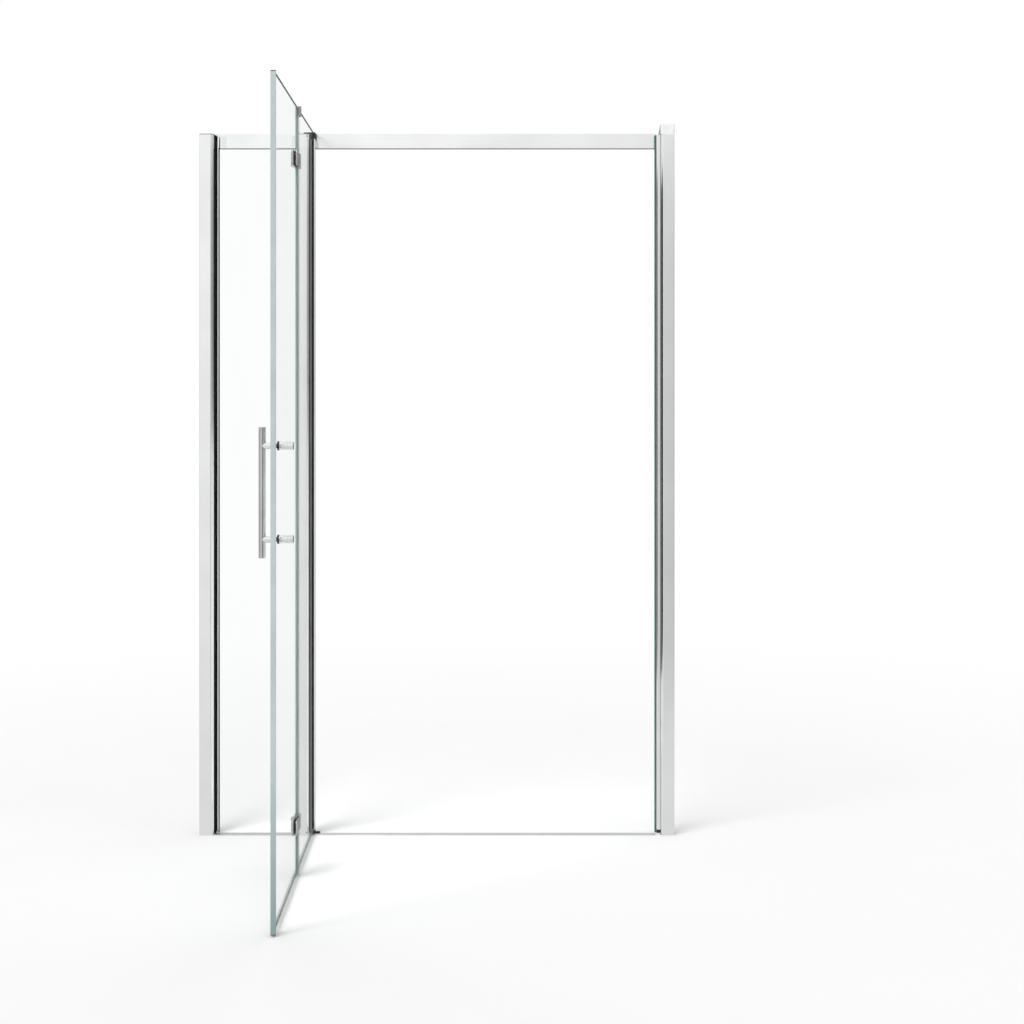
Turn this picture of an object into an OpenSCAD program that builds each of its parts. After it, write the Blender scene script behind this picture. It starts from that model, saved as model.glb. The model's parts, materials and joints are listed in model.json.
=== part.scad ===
// Folding shower door with a fixed pane, for an opening between two walls
// Origin: underside of the threshold, middle of the width, in the plane of the glass
// X runs along the opening, Y into the shower, Z up. The door stands open, as it is stored.

/* [Opening] */
// Width from wall face to wall face
overall_w = 1320; // [1250:5:1500]
// Height of the upright profiles with their caps
overall_h = 1950; // [1850:5:2100]

/* [Upright profiles] */
// Width of a visible upright profile
profile_w = 39; // [37:1:46]
// Front face of a profile to the middle of the glass
profile_front = 22; // [20:1:28]
// Middle of the glass to the back face of a profile
profile_back = 22; // [20:1:28]
// Wall of the aluminium profiles
profile_wall = 2; // [1.6:0.2:2.6]
// Radius of the front corners
corner_r = 9; // [4:0.5:9]
// Thickness of the flat caps on top
cap_t = 2; // [1.5:0.5:4]
// Height of the tall cap on the closing side
tall_cap_h = 28; // [15:1:40]
// Depth of the wall channel, from the wall
channel_w = 28; // [20:1:28]

/* [Wall fixing] */
// Diameter of the screw holes in the wall channels
wall_hole_d = 6; // [4:0.5:8]
// Height of the lowest screw hole
wall_hole_z = 150; // [100:5:300]
// Distance between neighbouring screw holes
wall_hole_step = 825; // [700:5:850]
// Screw holes in each wall channel
wall_hole_count = 3; // [2:1:3]
// Foot of an upright to the lowest screw that locks it to its channel
lock_inset = 200; // [100:10:400]

/* [Glass] */
// Thickness of every glass
glass_t = 6; // [5:1:8]
// Depth of glass held in a profile
glass_bite = 8; // [6:1:9]

/* [Hinge post] */
// Wall face to the door side of the post
post_x = 303; // [240:1:400]
// Width of the post
post_w = 34; // [30:1:45]
// Radius of the upright corners of the post
post_r = 7; // [4:0.5:7]
// Door side of the post to the pivot axis
pivot_offset = 9; // [8.5:0.5:14]
// Thickness of the lip seal on the post
lip_t = 1.1; // [0.6:0.1:1.2]
// Width of the lip seal
lip_w = 10; // [6:1:14]

/* [Top rail] */
// Height of the rail
rail_h = 41; // [30:1:60]
// Depth of the rail
rail_d = 9; // [8:0.5:9]
// Middle of the glass to the front of the rail
rail_y = 13; // [13:0.5:13.5]
// How far the rail rises above the profiles
rail_rise = 4.5; // [0:0.5:6]
// Wall of the rail
rail_wall = 1.5; // [1:0.1:2]
// Height of the dark strip under the rail
rail_strip_h = 1.5; // [1:0.5:3]
// Flange of the brackets at the ends of the rail
rail_flange_t = 3; // [2:0.5:5]
// Length of the plugs inside the rail
rail_plug_l = 30; // [20:1:50]

/* [Threshold] */
// Front edge of the threshold to the middle of the glass
sill_front = 21; // [18:0.5:21]
// Height of its raised front edge
sill_h = 3; // [2:0.5:3]
// Width of the raised front edge
sill_edge_w = 10; // [8:0.5:10.5]
// Thickness of the flange under the glass
sill_flange_t = 1.2; // [1:0.1:1.8]
// Height of the end cap beside the pivot
sill_cap_h = 6.4; // [4:0.2:7]
// Door side of the post to the far end of that cap
sill_cap_l = 29; // [22:0.5:29]
// Height of the base under the strike profile
strike_base_h = 6; // [5:0.5:8]
// Height of the dark foot on that base
strike_foot_h = 9; // [6:0.5:12]

/* [Leaves] */
// Pivot axis to fold axis
inner_leaf_l = 448; // [400:1:460]
// How far the leaves rise above the profiles
leaf_rise = 6; // [1:0.5:7]
// Underside of the drip seals above the floor
leaf_clearance = 4; // [3.5:0.5:8]
// Height of a drip seal below the glass
drip_h = 8; // [6:0.5:12]
// Opening angle at rest
open_angle = 86.3; // [70:0.1:90]

/* [Pivot] */
// Width of the pivot rail
pivot_rail_w = 15; // [13:0.5:16]
// Pivot axis to the free end of the pivot rail
pivot_rail_l = 20; // [18:1:26]
// Pivot axis to the edge of the inner glass
pivot_glass_x = 9; // [8.5:0.5:10]
// Diameter of the pivot pins
pivot_pin_d = 8; // [6:0.5:8]
// Radial running clearance of the pins
running_gap = 0.05; // [0.03:0.01:0.1]
// Height of the pivot blocks
pivot_block_h = 20; // [16:1:26]
// Height of the lower pivot block above its flange
lower_block_h = 14; // [12:1:18]

/* [Fold hinges] */
// Length of a hinge plate along the glass
plate_l = 42; // [30:1:55]
// Height of a hinge plate
plate_h = 38; // [32:1:50]
// Thickness of the outer hinge plates
outer_plate_t = 5; // [4:0.5:6]
// Thickness of the inner hinge plates
inner_plate_t = 3; // [2.5:0.5:5]
// Pads between hinge plates and glass
pad_t = 1; // [0.5:0.5:1.5]
// Radius of the hinge barrel
barrel_r = 5; // [4.5:0.5:6]
// Radius of the fold pins
fold_pin_r = 2.5; // [2:0.5:3]
// Outer face of the glass to the fold axis
fold_axis_out = 7; // [7:0.5:9]
// Half of the gap between the two glasses
joint_half = 6; // [5.5:0.5:8]
// Upper edge of the glass to the middle of the upper hinge
hinge_inset_top = 135; // [90:1:250]
// Lower edge of the glass to the middle of the lower hinge
hinge_inset_bottom = 122; // [90:1:250]
// Corner radius of the hinge plates
plate_r = 6; // [2:0.5:9]
// Diameter of the hinge screws
hinge_screw_d = 5; // [4:0.5:6]
// Diameter of their heads
hinge_head_d = 9; // [7:0.5:10]

/* [Seals] */
// Width of the clear strike seal
strike_seal_w = 5; // [4:0.5:8]
// Thickness of the strike and closing seals
magnet_seal_t = 12; // [10:0.5:14]
// Length of the closing seal past the glass
closing_seal_l = 8; // [6:0.5:12]
// Thickness of the seal walls on the glass
seal_wall = 1.2; // [0.8:0.1:1.5]
// How far the joint seal stands out inside
joint_lip = 7; // [3:0.5:7.5]
// Height of the grey cap on the joint seal
joint_cap_h = 26; // [15:1:40]
// How far that cap stands out inside
joint_cap_out = 9.6; // [6:0.2:9.6]

/* [Strike side] */
// Visible width of the strike profile
strike_w = 11; // [9:1:20]
// Half depth of the strike profile
strike_half_d = 16; // [12:1:19]

/* [Handle] */
// Length of the handle bar
handle_l = 300; // [200:5:500]
// Diameter of the handle bar
handle_d = 16; // [12:0.5:20]
// Distance between the two standoffs
handle_pitch = 214; // [120:2:260]
// Height of the middle of the handle
handle_z = 1000; // [850:5:1150]
// Closing edge of the outer glass to the handle axis
handle_inset = 52; // [40:1:100]
// Outer face of the glass to the middle of the bar
handle_out = 28.5; // [26:0.5:50]
// Diameter of the standoffs
standoff_d = 16; // [12:0.5:20]
// Diameter of the inner knobs
knob_d = 19; // [16:0.5:24]
// Length of an inner knob with its collar
knob_l = 37; // [20:1:45]
// Thickness of the dark collars
collar_t = 4; // [3:0.5:8]
// Diameter of the collars
collar_d = 21; // [20:0.5:28]
// Diameter of the studs through the glass
stud_d = 8; // [6:0.5:10]

/* [Hidden] */
$fn = 48;
small_fn = 32;
joggle = 0.01;
half_w = overall_w / 2;
half_t = glass_t / 2;
profile_top = overall_h - cap_t;
pane_side = -half_w + profile_w;
frame_side = half_w - profile_w;
strike_side = frame_side - strike_w;
post_side = -half_w + post_x;
post_left = post_side - post_w;
pivot_x = post_side + pivot_offset;
rail_top = overall_h + rail_rise;
rail_bottom = rail_top - rail_h;
rail_back = rail_y + rail_d;
leaf_top = overall_h + leaf_rise;
leaf_bottom = leaf_clearance + drip_h;
seal_gap = 0.3;
closing_gap = 0.8;
closed_end = strike_side - strike_seal_w - closing_gap - pivot_x;
outer_glass_start = inner_leaf_l + joint_half;
outer_glass_end = closed_end - closing_seal_l;
inner_glass_end = inner_leaf_l - joint_half;
fold_axis_y = -half_t - fold_axis_out;
pivot_r = pivot_rail_w / 2;
pocket_wall = 1.5;
gasket_t = 1.5;
pocket_half = half_t + gasket_t;
sill_back = pocket_half;
pane_bottom = sill_flange_t + gasket_t;
pocket_end = glass_bite + 2;
upper_block_z = leaf_top - pivot_block_h;
rail_play = 0.4;
pivot_rail_top = upper_block_z - rail_play;
lower_block_top = sill_flange_t + lower_block_h;
pivot_rail_bottom = lower_block_top + rail_play;
pivot_boss_r = 7.5;
bush_wall = 1.5;
bush_r = pivot_pin_d / 2 + running_gap + bush_wall;
pin_seat = 20;
pin_reach = 10;
hinge_zs = [leaf_bottom + hinge_inset_bottom, leaf_top - hinge_inset_top];
knuckle_h = plate_h / 3;
knuckle_gap = 0.3;
plate_start = barrel_r + 1.5;
screw_step = plate_h - 2 * hinge_head_d;
screw_x = plate_start + plate_l / 2;
glass_hole_r = hinge_screw_d / 2 + 2;
handle_x = outer_glass_end - handle_inset;
handle_zs = [handle_z - handle_pitch / 2, handle_z + handle_pitch / 2];
lock_zs = [lock_inset, overall_h / 2, overall_h - lock_inset];
lock_d = 4;
lock_head_d = 8;
lock_head_t = 2.5;
rear_leg = 10;
rear_tip = 2;
wall_edge_r = 1.5;
gasket_lip = 4.5;
gasket_web = 1;
gasket_proud = 1;
gasket_lip_in = 2;
cap_foot = 5.6;
strike_r = 4;
strike_groove = 2;
rail_screw_x = post_left + pocket_end + pocket_wall + lock_d / 2 + 0.5;
rail_screw_zs = [rail_bottom + rail_h / 4, rail_top - rail_h / 4];
pad_w = 12;
pad_h = 30;
pad_inset = 12;
pad_drop = 2;
foot_inset = 1;
strike_base_x = strike_side - strike_seal_w + 1;
strike_foot_top = strike_base_h + strike_foot_h;
tongue_half = 5;
tongue_l = post_w - profile_wall - pocket_end - pocket_wall - lock_d - 1.5;
block_screw_x = post_side - 6;
block_screw_zs = [sill_flange_t + lower_block_h / 2, upper_block_z + lower_block_h / 2];
block_head_d = 6;
bush_l = 12;
drip_web = 2;
drip_grip = 10;
joint_grip = 12;
joint_lean = 8;
sill_slope = 2;
closing_grip = 12;
magnet_t = 3;
hinge_head_t = 2;
washer_t = 1;
stud_out = handle_out - handle_d / 2 - 0.5;
stud_in = 27;

// Helpers
module box(low, high) {
  translate(low) cube(high - low);
}

module rect(x0, x1, y0, y1) {
  translate([x0, y0]) square([x1 - x0, y1 - y0]);
}

module round_rect(x0, x1, y0, y1, r) {
  rect(x0 + r, x1 - r, y0, y1);
  rect(x0, x1, y0 + r, y1 - r);
  for (x = [x0 + r, x1 - r], y = [y0 + r, y1 - r]) translate([x, y]) circle(r);
}

module upright(z0, z1) {
  translate([0, 0, z0]) linear_extrude(z1 - z0) children();
}

// Extrudes a section, drawn as Y across and Z up, along the opening
module along_x(x0, x1) {
  translate([x0, 0, 0]) rotate([90, 0, 90]) linear_extrude(x1 - x0) children();
}

// Turns a shape drawn on the closed door to where the open door stands
module on_door() {
  translate([pivot_x, 0, 0]) rotate([0, 0, -open_angle]) children();
}

// Round hole or bar along Y
module along_y(x, z, r, y0, y1, fn = small_fn) {
  translate([x, y0, z]) rotate([-90, 0, 0]) cylinder(r = r, h = y1 - y0, $fn = fn);
}

// Countersunk screw along Y with its head at y_head, pointing towards y_tip
module screw_y(x, z, d, head_d, head_t, y_head, y_tip) {
  dir = sign(y_tip - y_head);
  along_y(x, z, d / 2, min(y_head, y_tip), max(y_head, y_tip));
  along_y(x, z, head_d / 2, min(y_head, y_head + dir * head_t), max(y_head, y_head + dir * head_t));
}

// Uprights
module wall_channel(side) {
  y0 = -(profile_front - profile_wall - seal_gap);
  y1 = profile_back - profile_wall - seal_gap;
  mirror([side > 0 ? 1 : 0, 0, 0]) difference() {
    upright(0, profile_top) difference() {
      rect(-half_w, -half_w + channel_w, y0, y1);
      rect(-half_w + profile_wall, -half_w + channel_w + 1, y0 + profile_wall, y1 - profile_wall);
    }
    for (i = [0 : wall_hole_count - 1])
      translate([-half_w - 1, 0, wall_hole_z + i * wall_hole_step])
        rotate([0, 90, 0]) cylinder(d = wall_hole_d, h = profile_wall + 2, $fn = small_fn);
    for (z = lock_zs)
      along_y(-half_w + channel_w / 2, z, lock_d / 2, y1 - profile_wall - 1, y1 + 1);
  }
}

module wall_channel_left() {
  color("silver") wall_channel(-1);
}

module wall_channel_right() {
  color("silver") wall_channel(1);
}

// Outline of an upright with its own radius at each front corner
module corner_outline(x0, x1, y0, y1, r0, r1) {
  rect(x0 + r0, x1 - r1, y0, y1);
  rect(x0, x0 + r0, y0 + r0, y1);
  rect(x1 - r1, x1, y0 + r1, y1);
  translate([x0 + r0, y0 + r0]) circle(r0);
  translate([x1 - r1, y0 + r1]) circle(r1);
}

// Visible hollow profile, open towards the wall on the left
module cover_profile_2d() {
  inner_r = corner_r - profile_wall;
  difference() {
    corner_outline(-half_w, pane_side, -profile_front, profile_back, wall_edge_r, corner_r);
    rect(-half_w - 1, -half_w + wall_edge_r + 1, -profile_front + profile_wall, profile_back - profile_wall);
    corner_outline(-half_w - 1, pane_side - profile_wall, -profile_front + profile_wall,
      profile_back - profile_wall, wall_edge_r, inner_r);
  }
}

module lock_holes() {
  for (z = lock_zs)
    along_y(-half_w + channel_w / 2, z, lock_d / 2, profile_back - profile_wall - 1, profile_back + 1);
}

module pane_profile() {
  color("gainsboro") difference() {
    upright(0, profile_top) {
      cover_profile_2d();
      difference() {
        rect(pane_side - pocket_end - pocket_wall, pane_side,
          -pocket_half - pocket_wall, pocket_half + pocket_wall);
        rect(pane_side - pocket_end, pane_side + 1, -pocket_half, pocket_half);
      }
    }
    upright(-1, profile_top + 1) rect(pane_side - pocket_end, pane_side + 1, -pocket_half, pocket_half);
    lock_holes();
  }
  color("gainsboro") upright(pane_bottom, profile_top)
    rect(pane_side - joggle, pane_side + rear_leg, pocket_half, pocket_half + pocket_wall);
}

module frame_profile_right() {
  color("gainsboro") mirror([1, 0, 0]) difference() {
    upright(0, profile_top) cover_profile_2d();
    lock_holes();
  }
}

module profile_lock_screws() {
  color("dimgray") for (side = [0, 1], z = lock_zs)
    mirror([side, 0, 0]) screw_y(-half_w + channel_w / 2, z, lock_d, lock_head_d, lock_head_t,
      profile_back + lock_head_t, profile_back - 2 * profile_wall - 4);
}

module profile_cap_left() {
  color("darkgray") upright(profile_top, overall_h)
    corner_outline(-half_w, pane_side, -profile_front, profile_back, wall_edge_r, corner_r);
}

// Tall cap whose inner side leans back towards the wall
module profile_cap_right() {
  foot = strike_side + cap_foot;
  color("whitesmoke") intersection() {
    translate([0, profile_back, 0]) rotate([90, 0, 0]) linear_extrude(profile_front + profile_back)
      polygon([[foot, profile_top], [half_w, profile_top],
        [half_w, profile_top + tall_cap_h], [frame_side, profile_top + tall_cap_h]]);
    upright(profile_top - 1, profile_top + tall_cap_h + 1)
      corner_outline(foot, half_w, -profile_front, profile_back, corner_r, wall_edge_r);
  }
}

// Strike side
module strike_profile() {
  color("gainsboro") upright(strike_foot_top, profile_top) difference() {
    corner_outline(strike_side, frame_side, -strike_half_d, strike_half_d, strike_r, joggle);
    round_rect(strike_side + pocket_wall + strike_groove, frame_side - pocket_wall,
      -strike_half_d + pocket_wall, strike_half_d - pocket_wall, 1);
    rect(strike_side - 1, strike_side + strike_groove, -magnet_seal_t / 4, magnet_seal_t / 4);
  }
}

module strike_seal() {
  color("lightcyan") {
    upright(strike_base_h, profile_top)
      round_rect(strike_side - strike_seal_w, strike_side, -magnet_seal_t / 2, magnet_seal_t / 2, 1);
    upright(strike_foot_top, profile_top)
      rect(strike_side - joggle, strike_side + strike_groove, -magnet_seal_t / 4, magnet_seal_t / 4);
  }
}

module strike_foot() {
  color("black") upright(strike_base_h, strike_foot_top)
    corner_outline(strike_side + foot_inset, frame_side, -strike_half_d, strike_half_d, strike_r, joggle);
}

// Rail and threshold
module rail_hole_pair(r, y0, y1) {
  for (z = rail_screw_zs) along_y(rail_screw_x, z, r, y0, y1);
}

module top_rail() {
  x0 = pane_side + rail_flange_t;
  x1 = strike_side - rail_flange_t;
  color("gainsboro") difference() {
    box([x0, rail_y, rail_bottom], [x1, rail_back, rail_top]);
    box([x0 - 1, rail_y + rail_wall, rail_bottom + rail_wall],
      [x1 + 1, rail_back - rail_wall, rail_top - rail_wall]);
    rail_hole_pair(lock_d / 2, rail_y - 1, rail_back + 1);
  }
}

module rail_strip() {
  color("black") box([pane_side + rail_flange_t, rail_y + rail_wall, rail_bottom - rail_strip_h],
    [strike_side - rail_flange_t, rail_back - rail_wall, rail_bottom]);
}

module rail_bracket(x, dir) {
  inset = rail_wall + 0.1;
  far = x + dir * (rail_flange_t + rail_plug_l);
  box([min(x, x + dir * rail_flange_t), rail_y, rail_bottom],
    [max(x, x + dir * rail_flange_t), rail_back, rail_top]);
  box([min(x, far), rail_y + inset, rail_bottom + inset],
    [max(x, far), rail_back - inset, rail_top - inset]);
}

module rail_brackets() {
  color("gray") {
    rail_bracket(pane_side, 1);
    rail_bracket(strike_side, -1);
  }
}

module rail_screws() {
  color("dimgray") for (z = rail_screw_zs)
    screw_y(rail_screw_x, z, lock_d, lock_head_d, lock_head_t, rail_back + lock_head_t,
      rail_y - profile_wall - 3);
}

module pane_rail_pads() {
  color("whitesmoke") for (x = [pane_side + rear_leg + pad_inset, post_left - pad_inset])
    box([x - pad_w / 2, half_t, profile_top - pad_drop - pad_h],
      [x + pad_w / 2, rail_y, profile_top - pad_drop]);
}

// Thin flange under the glass with a raised edge in front
module threshold_section() {
  edge_back = -sill_front + sill_edge_w;
  polygon([[-sill_front, 0], [sill_back, 0], [sill_back, sill_flange_t],
    [edge_back + sill_slope, sill_flange_t], [edge_back, sill_h], [-sill_front + sill_slope, sill_h],
    [-sill_front, sill_h / 2]]);
}

module threshold_bar() {
  color("gainsboro") along_x(post_side, strike_base_x) threshold_section();
}

module threshold_end_cap() {
  color("black") box([pivot_x + pivot_boss_r + seal_gap, -tongue_half, sill_flange_t],
    [post_side + sill_cap_l, sill_back, sill_cap_h]);
}

module threshold_strike_end() {
  color("whitesmoke") box([strike_base_x, -sill_front, 0], [frame_side, strike_half_d, strike_base_h]);
}

// Fixed pane
module pane_base_bar() {
  color("gainsboro") along_x(pane_side, post_left) threshold_section();
}

module pane_base_gasket() {
  color("lightgray") box([pane_side, -half_t, sill_flange_t], [post_left, half_t, pane_bottom]);
}

module fixed_pane() {
  color("lightcyan", 0.4) box([pane_side - glass_bite, -half_t, pane_bottom],
    [post_left + glass_bite, half_t, profile_top]);
}

module pane_front_gasket() {
  color("black") upright(pane_bottom, profile_top) {
    rect(pane_side - glass_bite, pane_side + joggle, -pocket_half, -half_t);
    rect(pane_side, pane_side + gasket_lip - 1, -half_t - 2, -half_t);
    translate([pane_side + gasket_lip - 1, -half_t - 1]) circle(1);
  }
}

module pane_rear_gasket() {
  tip = pane_side + rear_leg;
  color("darkslategray") upright(pane_bottom, rail_bottom) {
    rect(pane_side - glass_bite, pane_side, half_t, pocket_half);
    rect(tip - gasket_web, tip + rear_tip, half_t, pocket_half);
    rect(tip, tip + rear_tip, half_t, pocket_half + pocket_wall);
  }
}

// Hinge post
module hinge_post() {
  inner_r = post_r - profile_wall;
  color("gainsboro") difference() {
    upright(0, profile_top) {
      difference() {
        corner_outline(post_left, post_side, -profile_front, rail_y, post_r, post_r);
        corner_outline(post_left + profile_wall, post_side - profile_wall,
          -profile_front + profile_wall, rail_y - profile_wall, inner_r, inner_r);
      }
      rect(post_left, post_left + pocket_end + pocket_wall,
        -pocket_half - pocket_wall, pocket_half + pocket_wall);
    }
    upright(-1, profile_top + 1) rect(post_left - 1, post_left + pocket_end, -pocket_half, pocket_half);
    rail_hole_pair(lock_d / 2, rail_y - profile_wall - 1, rail_y + 1);
    box([post_side - profile_wall - 1, -tongue_half, upper_block_z],
      [post_side + 1, tongue_half, profile_top + 1]);
    box([post_side - profile_wall - 1, -tongue_half, -1],
      [post_side + 1, tongue_half, lower_block_top]);
    for (z = block_screw_zs)
      along_y(block_screw_x, z, lock_d / 2, -profile_front - 1, -profile_front + profile_wall + 1);
  }
}

module post_top_cap() {
  color("gray") upright(profile_top, overall_h) difference() {
    corner_outline(post_left, post_side, -profile_front, rail_y, post_r, post_r);
    rect(post_side - profile_wall - tongue_l - seal_gap, post_side + 1,
      -tongue_half - seal_gap, tongue_half + seal_gap);
  }
}

module post_gasket() {
  color("black") upright(pane_bottom, profile_top) difference() {
    rect(post_left, post_left + pocket_end, -pocket_half, pocket_half);
    rect(post_left - 1, post_left + glass_bite + joggle, -half_t, half_t);
  }
}

module post_lip_seal() {
  color("black") box([post_side, -lip_w / 2, lower_block_top + seal_gap],
    [post_side + lip_t, lip_w / 2, upper_block_z - seal_gap]);
}

// Block with a round boss for the pin and a tongue inside the post; dir points to the rail
module pivot_block(z0, z1, bore_z0, bore_z1, screw_z) {
  difference() {
    union() {
      translate([pivot_x, 0, z0]) cylinder(r = pivot_boss_r, h = z1 - z0);
      box([post_side - profile_wall - tongue_l, -tongue_half, z0], [pivot_x, tongue_half, z1]);
    }
    translate([pivot_x, 0, bore_z0]) cylinder(r = bush_r, h = bore_z1 - bore_z0);
    along_y(block_screw_x, screw_z, lock_d / 2, -tongue_half - 1, 0);
  }
}

module upper_pivot_block() {
  color("black") pivot_block(upper_block_z, leaf_top, upper_block_z - 1, upper_block_z + bush_l,
    block_screw_zs[1]);
}

module lower_pivot_block() {
  color("black") pivot_block(sill_flange_t, lower_block_top, lower_block_top - bush_l,
    lower_block_top + 1, block_screw_zs[0]);
}

module pivot_bush(z0) {
  translate([pivot_x, 0, z0]) difference() {
    cylinder(r = bush_r, h = bush_l);
    translate([0, 0, -1]) cylinder(r = pivot_pin_d / 2 + running_gap, h = bush_l + 2);
  }
}

module upper_pivot_bush() {
  color("ivory") pivot_bush(upper_block_z);
}

module lower_pivot_bush() {
  color("ivory") pivot_bush(lower_block_top - bush_l);
}

module pivot_block_screws() {
  color("dimgray") for (z = block_screw_zs)
    screw_y(block_screw_x, z, lock_d, block_head_d, 1.5, -profile_front - 1.5, 0);
}

// Inner leaf, drawn on the closed door with the pivot axis at x = 0
module glass_holes(holes) {
  for (h = holes) along_y(h[0], h[1], h[2], -half_t - 1, half_t + 1);
}

function hinge_holes(side, r) = [
  for (zc = hinge_zs, dz = [-1, 1]) [inner_leaf_l + side * screw_x, zc + dz * screw_step / 2, r]
];

module inner_leaf_glass() {
  color("lightcyan", 0.4) on_door() difference() {
    box([pivot_glass_x, -half_t, leaf_bottom], [inner_glass_end, half_t, leaf_top]);
    glass_holes(hinge_holes(-1, glass_hole_r));
  }
}

module pivot_rail() {
  color("silver") on_door() upright(pivot_rail_bottom, pivot_rail_top) difference() {
    union() {
      circle(pivot_r);
      rect(0, pivot_rail_l, -pivot_r, pivot_r);
    }
    circle(pivot_pin_d / 2);
    rect(pivot_glass_x - gasket_web, pivot_rail_l + 1, -pocket_half, pocket_half);
  }
}

module pivot_rail_gasket() {
  end = pivot_rail_l + gasket_proud;
  color("black") on_door() upright(pivot_rail_bottom, pivot_rail_top) difference() {
    union() {
      rect(pivot_glass_x - gasket_web, end, -pocket_half, pocket_half);
      rect(pivot_rail_l, end, -pivot_r, half_t + gasket_lip_in);
    }
    rect(pivot_glass_x, end + 1, -half_t, half_t);
  }
}

module pivot_pin(z0, z1) {
  on_door() translate([0, 0, z0]) cylinder(d = pivot_pin_d, h = z1 - z0);
}

module upper_pivot_pin() {
  color("silver") pivot_pin(pivot_rail_top - pin_seat, upper_block_z + pin_reach);
}

module lower_pivot_pin() {
  color("silver") pivot_pin(lower_block_top - pin_reach, pivot_rail_bottom + pin_seat);
}

// Seal clipped on the lower edge of a glass between x0 and x1, with two hanging lips
module drip_seal(x0, x1) {
  outer = half_t + seal_wall;
  on_door() along_x(x0, x1) {
    difference() {
      rect(-outer, outer, leaf_bottom - drip_web, leaf_bottom + drip_grip);
      rect(-half_t, half_t, leaf_bottom, leaf_bottom + drip_grip + 1);
    }
    for (y0 = [-outer, half_t])
      rect(y0, y0 + seal_wall, leaf_clearance, leaf_bottom - drip_web + joggle);
  }
}

module inner_leaf_drip_seal() {
  color("lightcyan") drip_seal(pivot_rail_l + gasket_proud + seal_gap,
    inner_glass_end - joint_grip - seal_gap);
}

// Clear seal on the joint edge of the inner leaf, with a hollow bulb in the joint
module joint_grip_2d() {
  outer = half_t + seal_wall;
  web = inner_glass_end + seal_wall;
  tip = outer_glass_start - seal_gap;
  difference() {
    rect(inner_glass_end - joint_grip, web, -outer, outer);
    rect(inner_glass_end - joint_grip - 1, inner_glass_end, -half_t, half_t);
  }
  difference() {
    round_rect(web - 1, tip, -half_t, half_t, 1);
    round_rect(web, tip - seal_wall, -half_t + seal_wall, half_t - seal_wall, 0.5);
  }
}

// Its lip, which leans over the outer leaf inside
module joint_lip_2d() {
  outer = half_t + seal_wall;
  far = inner_glass_end + joint_lean;
  polygon([[inner_glass_end - seal_wall, outer - joggle], [far, half_t + joint_lip],
    [far + seal_wall, half_t + joint_lip], [inner_glass_end + seal_wall, outer - joggle]]);
}

// Lengths of joint seal below, between and above the hinges
joint_seal_runs = [
  [leaf_clearance, hinge_zs[0] - plate_h / 2 - 1],
  [hinge_zs[0] + plate_h / 2 + 1, hinge_zs[1] - plate_h / 2 - 1],
  [hinge_zs[1] + plate_h / 2 + 1, leaf_top]
];

module joint_seal() {
  color("lightcyan") on_door() for (run = joint_seal_runs) {
    upright(run[0], run[1]) joint_grip_2d();
    upright(run[0], min(run[1], leaf_top - joint_cap_h)) joint_lip_2d();
  }
}

module joint_seal_cap() {
  color("gray") on_door() upright(leaf_top - joint_cap_h, leaf_top)
    rect(inner_glass_end - seal_wall, inner_glass_end + joint_lean + seal_wall,
      half_t + seal_wall, half_t + joint_cap_out);
}

// Fold hinges, drawn around the fold axis; side -1 is the inner leaf and 1 the outer leaf
module plate_2d() {
  half_h = plate_h / 2;
  rect(0, plate_l - plate_r, -half_h, half_h);
  rect(plate_l - plate_r, plate_l, -half_h + plate_r, half_h - plate_r);
  for (z = [-half_h + plate_r, half_h - plate_r]) translate([plate_l - plate_r, z]) circle(plate_r);
}

// Hinge plate between two depths, starting beside the barrel
module hinge_plate(y0, y1) {
  translate([plate_start, y1, 0]) rotate([90, 0, 0]) linear_extrude(y1 - y0) plate_2d();
}

module at_hinge(side, zc) {
  translate([inner_leaf_l, 0, zc]) mirror([side < 0 ? 1 : 0, 0, 0]) children();
}

module hinge_screw_holes(r, y0, y1) {
  for (dz = [-1, 1]) along_y(screw_x, dz * screw_step / 2, r, y0, y1);
}

// Outer hinge plate with its knuckles; slots lists which thirds of the barrel it holds
module knuckle(side, zc, slots, bore_r) {
  face = -half_t - pad_t;
  on_door() at_hinge(side, zc) difference() {
    union() {
      hinge_plate(face - outer_plate_t, face);
      for (i = slots) translate([0, 0, -plate_h / 2 + i * knuckle_h + knuckle_gap / 2]) {
        translate([0, fold_axis_y, 0]) cylinder(r = barrel_r, h = knuckle_h - knuckle_gap);
        box([0, face - outer_plate_t, 0], [plate_start + joggle, fold_axis_y + barrel_r - 0.2,
          knuckle_h - knuckle_gap]);
      }
    }
    translate([0, fold_axis_y, -plate_h]) cylinder(r = bore_r, h = 2 * plate_h);
    hinge_screw_holes(hinge_screw_d / 2, face - outer_plate_t + 1, face + 1);
  }
}

module inner_leaf_lower_knuckle() {
  color("silver") knuckle(-1, hinge_zs[0], [0, 2], fold_pin_r + running_gap);
}

module inner_leaf_upper_knuckle() {
  color("silver") knuckle(-1, hinge_zs[1], [0, 2], fold_pin_r + running_gap);
}

module outer_leaf_lower_knuckle() {
  color("silver") knuckle(1, hinge_zs[0], [1], fold_pin_r);
}

module outer_leaf_upper_knuckle() {
  color("silver") knuckle(1, hinge_zs[1], [1], fold_pin_r);
}

module back_plates(side) {
  back = half_t + pad_t;
  on_door() for (zc = hinge_zs) at_hinge(side, zc) difference() {
    hinge_plate(back, back + inner_plate_t);
    hinge_screw_holes(hinge_screw_d / 2, back - 1, back + inner_plate_t + 1);
    hinge_screw_holes(hinge_head_d / 2, back + inner_plate_t - hinge_head_t, back + inner_plate_t + 1);
  }
}

module inner_leaf_back_plates() {
  color("silver") back_plates(-1);
}

module outer_leaf_back_plates() {
  color("silver") back_plates(1);
}

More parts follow.
